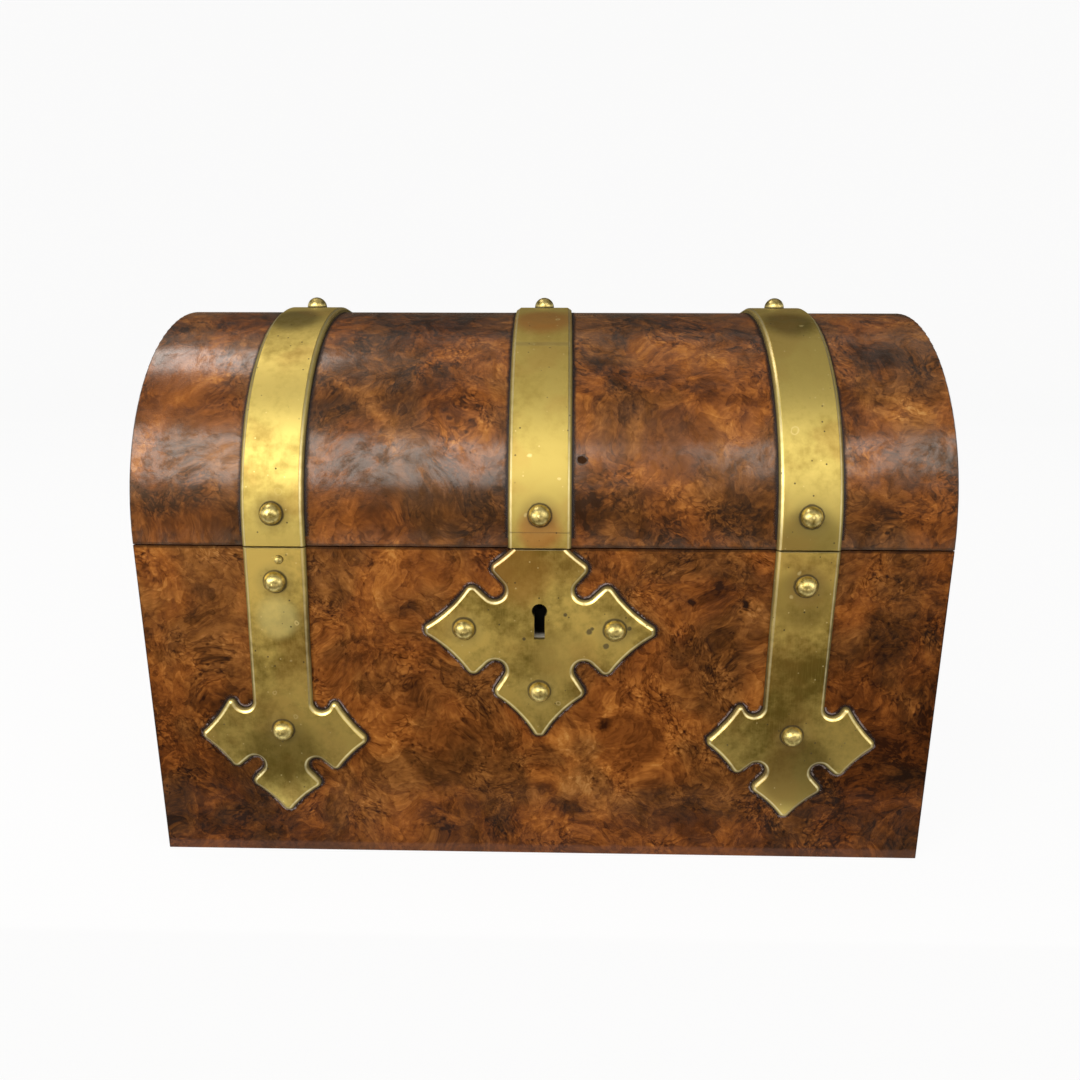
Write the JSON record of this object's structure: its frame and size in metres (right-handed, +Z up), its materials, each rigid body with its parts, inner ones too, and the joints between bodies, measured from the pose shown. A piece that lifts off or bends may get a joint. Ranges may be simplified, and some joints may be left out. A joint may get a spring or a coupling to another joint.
{
  "type": "dome-topped stationery box",
  "caption": "Dome-topped walnut stationery box with cross-ended brass straps, keyhole plate, working lock, hinged lid and a stepped paper rack inside.",
  "frame": {"origin": "on the table, under the middle of the box", "axes": "+X along the front to the right, +Y from front to back, +Z up"},
  "size_m": [0.23, 0.1327, 0.1651],
  "materials": {
    "burr_walnut": "burr walnut veneer, french polished",
    "carcass_wood": "plain mahogany boards, unpolished",
    "rack_walnut": "straight-grained walnut, polished",
    "strap_brass": "worn lacquered brass with tarnish",
    "stud_brass": "polished brass, dark round the rim",
    "lock_brass": "satin brass",
    "screw_brass": "turned brass",
    "spring_steel": "blued spring steel",
    "green_baize": "woollen baize",
    "lining_paper": "watered paper",
    "lining_silk": "watered silk"
  },
  "bodies": {
    "case": {"back_board": "carcass_wood", "back_divider": "rack_walnut", "back_veneer": "burr_walnut", "base_baize": "green_baize", "base_board": "carcass_wood", "escutcheon_plate": "strap_brass", "escutcheon_studs": "stud_brass", "floor_lining": "lining_paper", "front_board": "carcass_wood", "front_divider": "rack_walnut", "front_veneer": "burr_walnut", "hinge_case_screws": "screw_brass", "hinge_pins": "lock_brass", "left_end_board": "carcass_wood", "left_end_veneer": "burr_walnut", "left_hinge_case_leaf": "lock_brass", "left_lower_strap": "strap_brass", "left_rack_cheek": "rack_walnut", "lock_case": "lock_brass", "lock_drill_pin": "lock_brass", "lock_guide_pins": "lock_brass", "lock_plate": "lock_brass", "lock_screws": "screw_brass", "lock_spring": "spring_steel", "lower_strap_studs": "stud_brass", "middle_divider": "rack_walnut", "right_end_board": "carcass_wood", "right_end_veneer": "burr_walnut", "right_hinge_case_leaf": "lock_brass", "right_lower_strap": "strap_brass", "right_rack_cheek": "rack_walnut", "strap_pin": "stud_brass", "wall_lining": "lining_paper"},
    "lid": {"hinge_lid_screws": "screw_brass", "left_hinge_lid_leaf": "lock_brass", "lid_back_rail": "carcass_wood", "lid_centre_strap": "strap_brass", "lid_dome_lining": "lining_silk", "lid_dome_veneer": "burr_walnut", "lid_front_rail": "carcass_wood", "lid_left_end_board": "carcass_wood", "lid_left_end_lining": "lining_silk", "lid_left_end_veneer": "burr_walnut", "lid_left_strap": "strap_brass", "lid_right_end_board": "carcass_wood", "lid_right_end_lining": "lining_silk", "lid_right_end_veneer": "burr_walnut", "lid_right_strap": "strap_brass", "lid_stave_1": "carcass_wood", "lid_stave_2": "carcass_wood", "lid_stave_3": "carcass_wood", "lid_stave_4": "carcass_wood", "lid_stave_5": "carcass_wood", "lid_strap_studs": "stud_brass", "link_plate_screws": "screw_brass", "lock_link_plate": "lock_brass", "right_hinge_lid_leaf": "lock_brass"},
    "bolt": {"lock_bolt": "lock_brass"}
  },
  "joints": [
    {"name": "lid_hinge", "type": "hinge", "parent": "case", "child": "lid", "pos_m": [0, 0.059, 0.0982], "axis": [-1, 0, 0], "range_deg": [0, 95]},
    {"name": "bolt_slide", "type": "slide", "parent": "case", "child": "bolt", "axis": [1, 0, 0], "range_m": [0, 0.0045]}
  ]
}
